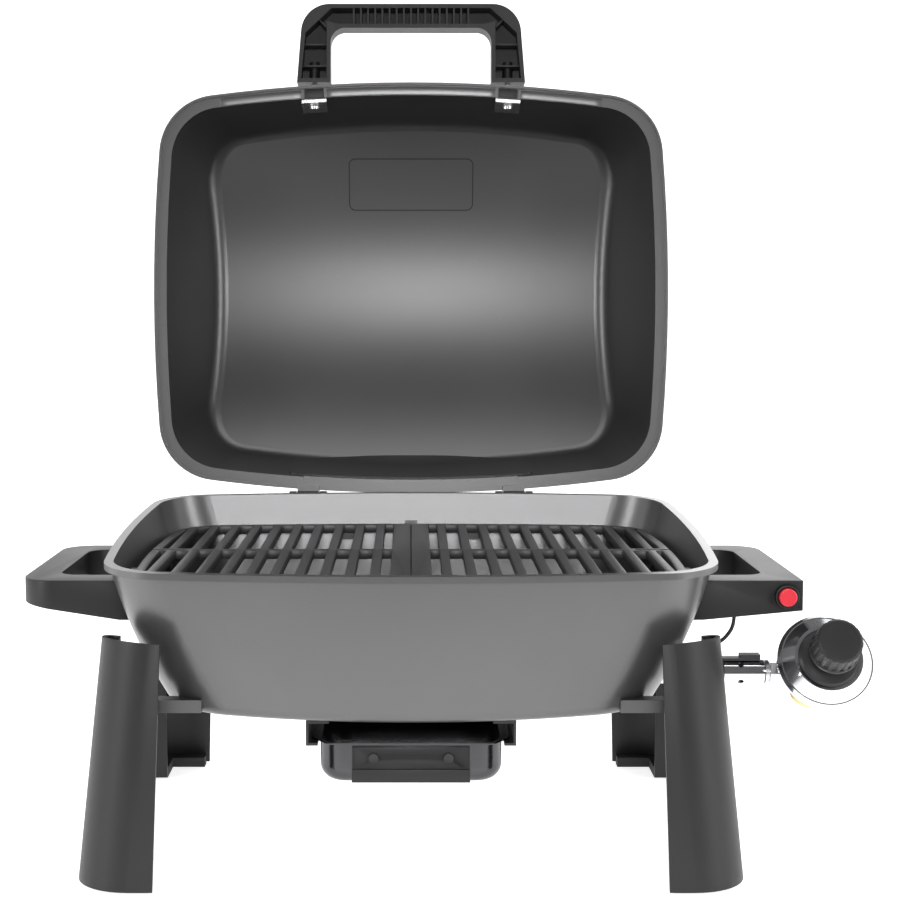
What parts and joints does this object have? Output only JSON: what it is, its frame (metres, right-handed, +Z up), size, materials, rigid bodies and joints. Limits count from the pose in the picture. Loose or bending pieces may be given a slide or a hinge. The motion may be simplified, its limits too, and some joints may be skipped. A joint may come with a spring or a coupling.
{
  "type": "folding camp grill",
  "caption": "Tabletop gas grill: cast basin and hinged lid, lift-out cast-iron grates, folding legs, pull-out drip tray, side regulator with knob and push igniter.",
  "frame": {"origin": "on the standing surface, under the middle of the whole object's box with the lid open", "axes": "+Z up, +X to the user's right, +Y to the back, where the lid hinges"},
  "size_m": [0.684, 0.544, 0.7375],
  "materials": {
    "cast_shell": "satin powder-coated cast aluminium, mid grey",
    "lid_shell": "satin powder-coated cast aluminium, dark grey inside",
    "black_plastic": "fine-textured moulded black plastic",
    "cast_iron": "porcelain-coated cast iron, dark grey",
    "chrome": "polished chrome plate",
    "steel": "bright stainless steel",
    "tray_steel": "dark polished stainless sheet",
    "black_steel": "black painted sheet steel",
    "die_cast": "plain zinc die casting",
    "brass": "turned brass",
    "red_plastic": "glossy red moulded plastic",
    "rubber": "black rubber",
    "shroud_plastic": "dark satin moulded plastic",
    "ceramic": "glazed white ceramic"
  },
  "bodies": {
    "base": {"basin": "cast_shell", "burner_tube": "steel", "burner_bracket": "steel", "venturi_tube": "chrome", "venturi_clip": "black_steel", "regulator_body": "die_cast", "regulator_ring": "chrome", "regulator_shroud": "shroud_plastic", "cylinder_inlet": "brass", "outlet_neck": "steel", "outlet_nut": "steel", "igniter_bezel": "black_plastic", "igniter_module": "shroud_plastic", "igniter_spring": "steel", "spark_electrode": "ceramic", "igniter_lead": "rubber", "hinge_pins": "steel", "side_handle_left": "black_plastic", "side_handle_right": "black_plastic", "side_handle_bolts": "steel", "leg_pins": "steel", "tray_rail_right": "black_steel", "tray_rail_left": "black_steel", "rail_screws": "steel"},
    "lid": {"lid_shell": "lid_shell", "lid_handle": "black_plastic", "handle_brackets": "steel", "handle_screws": "steel"},
    "knob": {"control_knob": "black_plastic", "knob_stem": "brass"},
    "button": {"igniter_button": "red_plastic"},
    "tray": {"drip_tray": "tray_steel", "tray_handle": "black_plastic", "tray_rivets": "black_steel"},
    "right_grate": {"grate_right": "cast_iron"},
    "left_grate": {"grate_left": "cast_iron"},
    "front_right_leg": {"leg_front_right": "black_plastic", "foot_front_right": "rubber"},
    "front_left_leg": {"leg_front_left": "black_plastic", "foot_front_left": "rubber"},
    "rear_right_leg": {"leg_rear_right": "black_plastic", "foot_rear_right": "rubber"},
    "rear_left_leg": {"leg_rear_left": "black_plastic", "foot_rear_left": "rubber"}
  },
  "joints": [
    {"name": "lid_hinge", "type": "hinge", "parent": "base", "child": "lid", "pos_m": [-0.028, 0.12899, 0.257], "axis": [1, 0, 0], "range_deg": [0, 98]},
    {"name": "tray_slide", "type": "slide", "parent": "base", "child": "tray", "axis": [0, -1, 0], "range_m": [0, 0.19]},
    {"name": "knob_turn", "type": "hinge", "parent": "base", "child": "knob", "pos_m": [0.303, -0.18651, 0.161], "axis": [0, -0.866, 0.5], "range_deg": [0, 135]},
    {"name": "igniter_press", "type": "slide", "parent": "base", "child": "button", "axis": [0, 1, 0], "range_m": [0, 0.0045], "stiffness_N_per_m": 800, "springref_m": -0.003, "deforming": ["igniter_spring"]},
    {"name": "right_grate_lift", "type": "slide", "parent": "base", "child": "right_grate", "axis": [0, 0, 1], "range_m": [0, 0.03]},
    {"name": "left_grate_lift", "type": "slide", "parent": "base", "child": "left_grate", "axis": [0, 0, 1], "range_m": [0, 0.03]},
    {"name": "front_right_leg_fold", "type": "hinge", "parent": "base", "child": "front_right_leg", "pos_m": [0.187, -0.23051, 0.134], "axis": [0, 1, 0], "range_deg": [0, 90]},
    {"name": "front_left_leg_fold", "type": "hinge", "parent": "base", "child": "front_left_leg", "pos_m": [-0.243, -0.23051, 0.134], "axis": [0, -1, 0], "range_deg": [0, 90]},
    {"name": "rear_right_leg_fold", "type": "hinge", "parent": "base", "child": "rear_right_leg", "pos_m": [0.187, 0.07049, 0.134], "axis": [0, 1, 0], "range_deg": [0, 90]},
    {"name": "rear_left_leg_fold", "type": "hinge", "parent": "base", "child": "rear_left_leg", "pos_m": [-0.243, 0.07049, 0.134], "axis": [0, -1, 0], "range_deg": [0, 90]}
  ]
}
